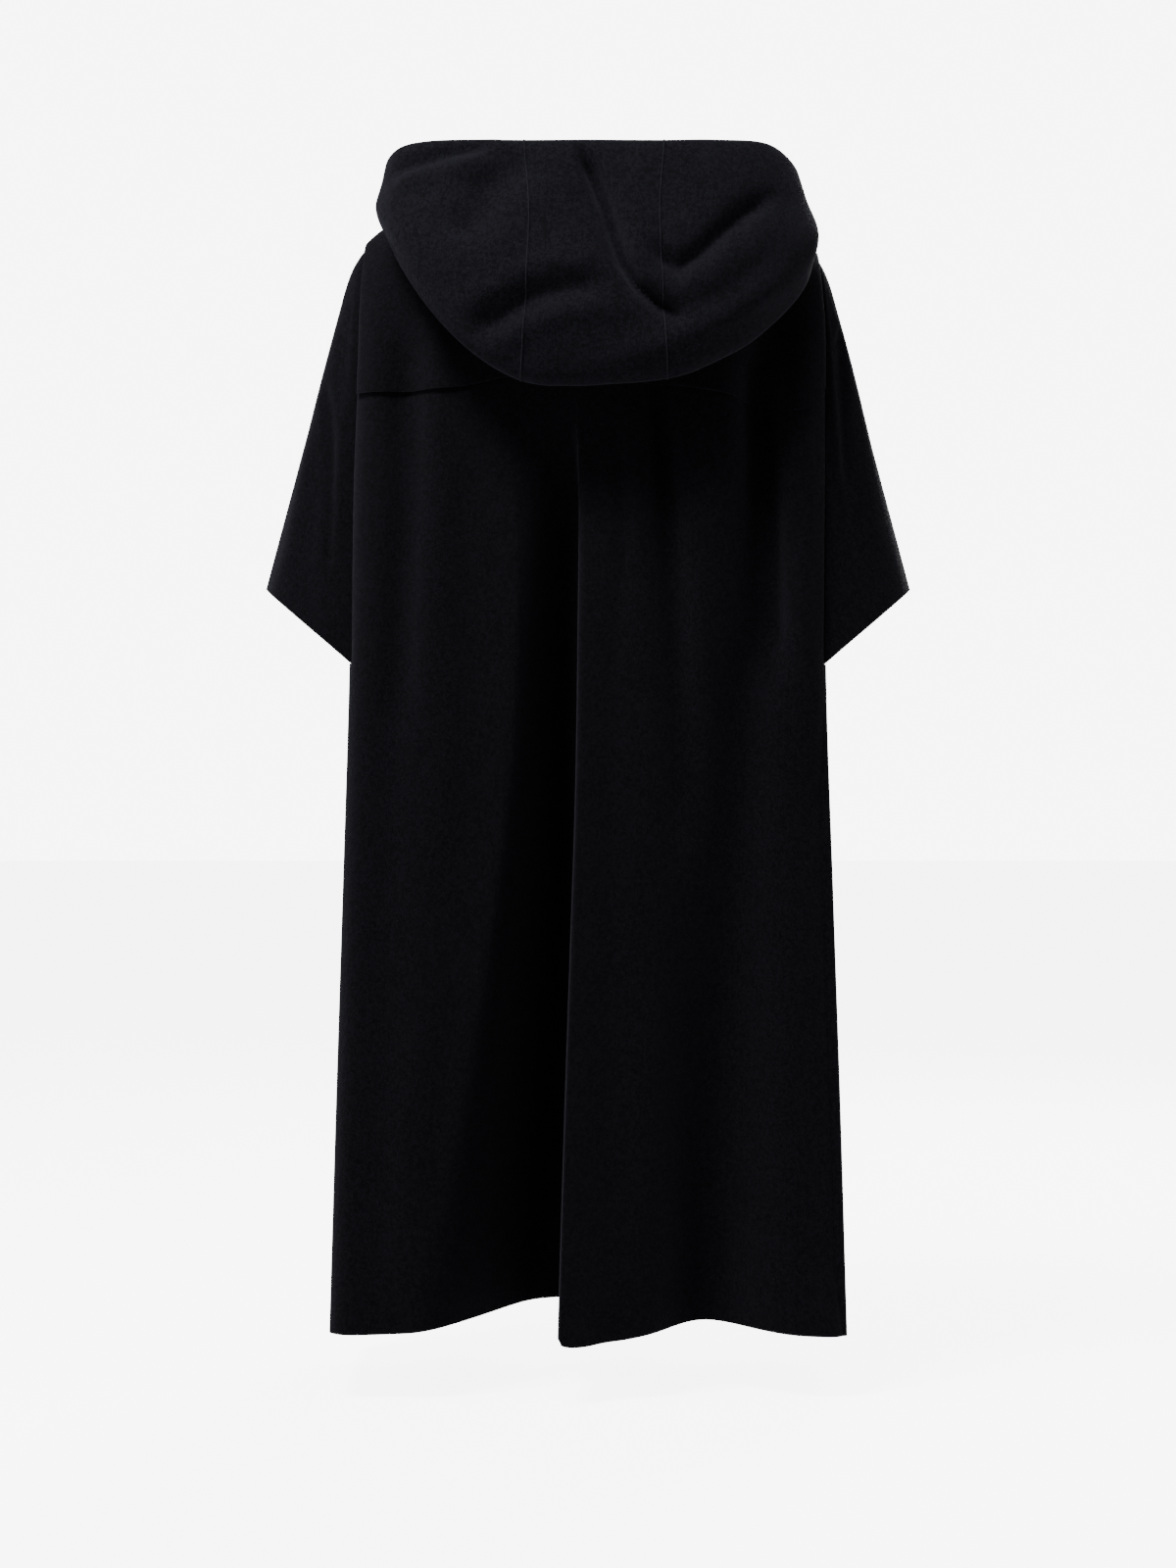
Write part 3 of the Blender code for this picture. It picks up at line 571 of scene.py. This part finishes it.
@dataclass
class Body:
    """The back and front panels and the flap over the shoulders."""

    back: Panel = field(default_factory=lambda: Panel(
        node="back_panel", out=Out.BACK, wool=BODY_WOOL, cut=(0.72, 1.08), area=0.76, held="hung",
        rests_on=("front_panel_cloth",),
        strokes={Seen.FROM_BEHIND: (
            *SHOULDER_DRAGS,
            Stroke("lip follows", -1.5, 8, ((628, 420), (636, 520), (630, 700))),
            Stroke("right side falls away", -12.0, 30, ((820, 690), (828, 800), (836, 1000), (842, 1200),
                                                        (850, 1420)), 0.0),
            Stroke("armhole pull", -1.2, 7, ((838, 430), (822, 500), (812, 560))),
            Stroke("low left roll", 1.6, 18, ((430, 1000), (420, 1150), (415, 1340))),
            Stroke("low right roll", 1.6, 16, ((660, 1000), (664, 1150), (672, 1330))),
        )}))
    front: Panel = field(default_factory=lambda: Panel(
        node="front_panel", out=Out.FRONT, wool=BODY_WOOL, cut=(0.62, 1.08), area=0.64, held="hung",
        rests_on=("back_panel_cloth",),
        strokes={Seen.FROM_FRONT: (
            Stroke("left shoulder drag", -2.0, 0.012, ((0.165, -0.07), (0.14, -0.20), (0.13, -0.38))),
            Stroke("right shoulder drag", -2.0, 0.012, ((-0.170, -0.08), (-0.15, -0.22), (-0.14, -0.42))),
            Stroke("left of the middle", -1.6, 0.011, ((0.055, -0.10), (0.048, -0.28), (0.052, -0.50))),
            Stroke("right of the middle", 1.6, 0.012, ((-0.030, -0.12), (-0.036, -0.32), (-0.032, -0.58))),
            Stroke("armhole pull", -1.3, 0.007, ((0.205, -0.28), (0.185, -0.34), (0.170, -0.42))),
            Stroke("other armhole pull", -1.3, 0.007, ((-0.205, -0.26), (-0.188, -0.33), (-0.172, -0.40))),
        )}))
    yoke: Panel = field(default_factory=lambda: Panel(
        node="back_yoke", out=Out.BACK, wool=BODY_WOOL, cut=(0.44, 0.26), area=0.097, held="laid",
        rests_on=("back_panel_cloth",), wall=1.3 * MM,
        strokes={Seen.FROM_BEHIND: (
            *SHOULDER_DRAGS,
            Stroke("edge lies flat, left", -0.7, 12, ((330, 404), (372, 403), (430, 400), (500, 390), (570, 384)), 0.0),
            Stroke("edge lies flat, right", -0.7, 12, ((640, 384), (700, 394), (750, 406), (812, 418), (870, 418)),
                   0.0),
        )}))

    def panels(self) -> list[Panel]:
        """The body's panels."""
        return [self.back, self.front, self.yoke]


@dataclass
class Sleeves:
    """The two short cape sleeves."""

    left: Panel = field(default_factory=lambda: Panel(
        node="sleeve_left", out=Out.LEFT, wool=BODY_WOOL, cut=(0.24, 0.41), area=0.075, held="hung",
        rests_on=("back_panel_cloth", "front_panel_cloth"), fineness=3,
        strokes={Seen.FROM_BEHIND: (
            Stroke("fold from the notch", -2.2, 5, ((328, 380), (335, 415), (338, 450), (337, 520), (334, 590))),
            Stroke("first wrinkle", -0.9, 2.4, ((345, 340), (351, 347), (360, 350))),
            Stroke("second wrinkle", -0.9, 2.4, ((343, 356), (350, 363), (360, 368))),
            Stroke("third wrinkle", -0.9, 2.6, ((341, 374), (350, 382), (359, 390))),
            Stroke("soft outer roll", 1.4, 9, ((318, 440), (304, 520), (292, 590))),
        ), Seen.FROM_FRONT: (
            Stroke("front roll", -1.8, 0.009, ((0.238, -0.08), (0.244, -0.18), (0.250, -0.30))),
        )}))
    right: Panel = field(default_factory=lambda: Panel(
        node="sleeve_right", out=Out.RIGHT, wool=BODY_WOOL, cut=(0.24, 0.41), area=0.072, held="hung",
        rests_on=("back_panel_cloth", "front_panel_cloth"), fineness=3,
        strokes={Seen.FROM_BEHIND: (
            Stroke("fold along the seam", -1.8, 4.5, ((857, 325), (858, 365), (860, 420), (864, 500))),
            Stroke("soft outer roll", 1.4, 9, ((878, 430), (890, 520), (902, 590))),
            Stroke("small wrinkle", -0.8, 2.4, ((850, 352), (858, 346), (864, 342))),
        ), Seen.FROM_FRONT: (
            Stroke("front roll", -1.8, 0.009, ((-0.240, -0.10), (-0.247, -0.20), (-0.252, -0.31))),
        )}))

    def panels(self) -> list[Panel]:
        """The two sleeves."""
        return [self.left, self.right]


HOOD_STROKES: dict[Seen, tuple[Stroke, ...]] = {
    Seen.FROM_BEHIND: (
        Stroke("main trough", -6.0, 17, ((582, 152), (602, 190), (616, 226), (626, 256), (642, 286), (662, 308),
                                         (704, 334)), 0.0),
        Stroke("crease in it", -15.0, 8, ((588, 140), (606, 176), (619, 206), (628, 236), (637, 262), (651, 287),
                                        (672, 308), (708, 332)), 0.0),
        Stroke("second trough", -4.0, 17, ((656, 244), (692, 270), (714, 254), (738, 232), (762, 212), (806, 192)),
               0.0),
        Stroke("crease in the second", -8.0, 9, ((652, 236), (677, 259), (692, 270), (714, 255), (738, 233), (762, 213),
                                       (804, 192)), 0.0),
        Stroke("left lower trough", -9.0, 14, ((470, 346), (506, 322), (540, 302), (572, 292), (634, 286))),
        Stroke("soft darkening", -6.0, 20, ((550, 146), (505, 188), (482, 218), (458, 252))),
        Stroke("top left crease", -4.5, 7, ((380, 186), (412, 170), (450, 158), (512, 146))),
        Stroke("roll under it", 2.5, 10, ((385, 206), (420, 186), (465, 172), (515, 164))),
        Stroke("lower roll", 3.5, 14, ((590, 374), (680, 350), (740, 322), (800, 286), (830, 256))),
        Stroke("hollow above the roll", -2.0, 13, ((690, 322), (735, 302), (775, 270), (804, 236))),
    ),
    Seen.FROM_ABOVE: (
        Stroke("left side sag", -2.2, 0.012, ((0.172, 0.070), (0.160, 0.020), (0.130, -0.030))),
        Stroke("right side sag", -2.2, 0.012, ((-0.180, 0.075), (-0.166, 0.020), (-0.134, -0.030))),
    ),
    Seen.FROM_FRONT: (
        Stroke("left front crease", -1.8, 0.009, ((0.110, 0.030), (0.080, 0.005), (0.050, -0.018))),
        Stroke("right front crease", -1.8, 0.009, ((-0.100, 0.026), (-0.070, -0.004), (-0.042, -0.026))),
    ),
}


@dataclass
class Hood:
    """The hood lying down: two sides and the centre gusset."""

    left: Panel = field(default_factory=lambda: Panel(
        node="hood_left", out=Out.BACK, wool=HOOD_WOOL_PAINTED_LIGHT, cut=(0.36, 0.42), area=0.104, held="folded",
        rests_on=("back_yoke_cloth", "front_panel_cloth"), fineness=3, strokes=HOOD_STROKES, slot="black_wool_hood"))
    centre: Panel = field(default_factory=lambda: Panel(
        node="hood_centre", out=Out.BACK, wool=HOOD_WOOL_PAINTED_LIGHT, cut=(0.15, 0.50), area=0.062, held="folded",
        rests_on=("back_yoke_cloth",), fineness=3, strokes=HOOD_STROKES, slot="black_wool_hood"))
    right: Panel = field(default_factory=lambda: Panel(
        node="hood_right", out=Out.BACK, wool=HOOD_WOOL_PAINTED_LIGHT, cut=(0.38, 0.42), area=0.115, held="folded",
        rests_on=("back_yoke_cloth", "front_panel_cloth"), fineness=3, strokes=HOOD_STROKES, slot="black_wool_hood"))

    def panels(self) -> list[Panel]:
        """The hood's three panels."""
        return [self.left, self.centre, self.right]


# ---------------------------------------------------------------- the studio

@dataclass(frozen=True)
class SoftLight:
    """One large soft lamp."""

    name: str
    place: tuple[float, float, float]
    size: float
    power: float

    AIM = Vector((0.0, 0.0, -0.45))

    def build(self) -> None:
        """Hangs the lamp and turns it to the poncho's middle."""
        data = bpy.data.lights.new(self.name, "AREA")
        data.size = self.size
        data.energy = self.power
        lamp = bpy.data.objects.new(self.name, data)
        lamp.location = self.place
        lamp.rotation_euler = (self.AIM - lamp.location).to_track_quat("-Z", "Y").to_euler()
        bpy.context.scene.collection.objects.link(lamp)


@dataclass(frozen=True)
class Studio:
    """A plain pale floor under a pale, even sky, with soft lamps round the poncho."""

    floor_height: float = -1.06
    floor_size: float = 40.0
    pale: float = 0.90
    sky: float = 7.6
    glow: float = 6.4
    fill: float = 0.008
    lamps: tuple[SoftLight, ...] = (
        SoftLight("lamp_left", (1.3, 0.55, 0.1), 0.7, 7.0),
        SoftLight("lamp_right", (-2.4, 0.5, 0.5), 1.2, 20.0),
        SoftLight("key_lamp", (1.10, 1.4, 2.5), 1.0, 200.0),
        SoftLight("front_lamp", (-0.9, -2.4, 1.0), 1.2, 90.0),
    )

    def build(self) -> None:
        """Makes the floor, the sky and the lamps."""
        bpy.ops.object.select_all(action="DESELECT")
        bpy.ops.mesh.primitive_plane_add(size=self.floor_size, location=(0, 0, 0))
        floor = bpy.context.view_layer.objects.active
        floor.name = "floor"
        for vertex in floor.data.vertices:
            vertex.co.z = self.floor_height
        floor.data.materials.append(self._floor_paint())
        self._sky()
        for lamp in self.lamps:
            lamp.build()

    def _floor_paint(self) -> bpy.types.Material:
        """Pale matt paint, bright enough in the picture to run into the backdrop."""
        material = bpy.data.materials.new("pale_floor")
        material.use_nodes = True
        tree = material.node_tree
        node, link = tree.nodes.new, tree.links.new
        paint = tree.nodes["Principled BSDF"]
        paint.inputs["Base Color"].default_value = (self.pale, self.pale, self.pale, 1.0)
        paint.inputs["Roughness"].default_value = 0.9
        glow = node("ShaderNodeEmission")
        glow.inputs["Color"].default_value = (1.0, 1.0, 1.0, 1.0)
        rays, strength, both = node("ShaderNodeLightPath"), node("ShaderNodeMath"), node("ShaderNodeAddShader")
        strength.operation = "MULTIPLY"
        strength.inputs[1].default_value = self.glow
        link(rays.outputs["Is Camera Ray"], strength.inputs[0])
        link(strength.outputs["Value"], glow.inputs["Strength"])
        link(paint.outputs["BSDF"], both.inputs[0])
        link(glow.outputs["Emission"], both.inputs[1])
        link(both.outputs["Shader"], tree.nodes["Material Output"].inputs["Surface"])
        return material

    def _sky(self) -> None:
        """Even light from all round; the camera sees it as the pale backdrop."""
        world = bpy.data.worlds.new("studio_sky")
        world.use_nodes = True
        tree = world.node_tree
        node, link = tree.nodes.new, tree.links.new
        seen, lit = tree.nodes["Background"], node("ShaderNodeBackground")
        seen.inputs["Color"].default_value = (self.sky, self.sky, self.sky, 1.0)
        lit.inputs["Color"].default_value = (self.fill, self.fill, self.fill, 1.0)
        rays, blend = node("ShaderNodeLightPath"), node("ShaderNodeMixShader")
        link(rays.outputs["Is Camera Ray"], blend.inputs["Fac"])
        link(lit.outputs["Background"], blend.inputs[1])
        link(seen.outputs["Background"], blend.inputs[2])
        link(blend.outputs["Shader"], tree.nodes["World Output"].inputs["Surface"])
        bpy.context.scene.world = world


# ---------------------------------------------------------------- the whole

def sew(panels: dict[str, Panel]) -> dict[str, list[bpy.types.Object]]:
    """Makes the turned edges along the seams.

    Args:
        panels: the panels by their node's name.

    Returns:
        for each node's name, the edges that lie on its cloth.
    """
    seams = (
        SeamEdge("armhole_edge_left", panels["sleeve_left"], panels["back_panel"]),
        SeamEdge("armhole_edge_right", panels["sleeve_right"], panels["back_panel"]),
        SeamEdge("armhole_front_edge_left", panels["sleeve_left"], panels["front_panel"]),
        SeamEdge("armhole_front_edge_right", panels["sleeve_right"], panels["front_panel"]),
        SeamEdge("hood_seam_edge_left", panels["hood_centre"], panels["hood_left"]),
        SeamEdge("hood_seam_edge_right", panels["hood_centre"], panels["hood_right"]),
        SeamEdge("side_seam_edge_left", panels["back_panel"], panels["front_panel"], high=-0.36, side=1),
        SeamEdge("side_seam_edge_right", panels["back_panel"], panels["front_panel"], high=-0.36, side=-1),
    )
    trims: dict[str, list[bpy.types.Object]] = {name: [] for name in panels}
    for seam in seams:
        trims[seam.on.node].append(seam.build())
    return trims


def main() -> None:
    """Builds the poncho and the studio."""
    body, sleeves, hood = Body(), Sleeves(), Hood()
    panels = {panel.node: panel for panel in body.panels() + sleeves.panels() + hood.panels()}
    for panel in panels.values():
        panel.build()
    trims = sew(panels)
    for panel in panels.values():
        panel.finish()
        panel.declare(trims[panel.node])
    Studio().build()
    PICTURE.camera()
    log.info("built %d panels", len(panels))


if __name__ == "__main__":
    main()
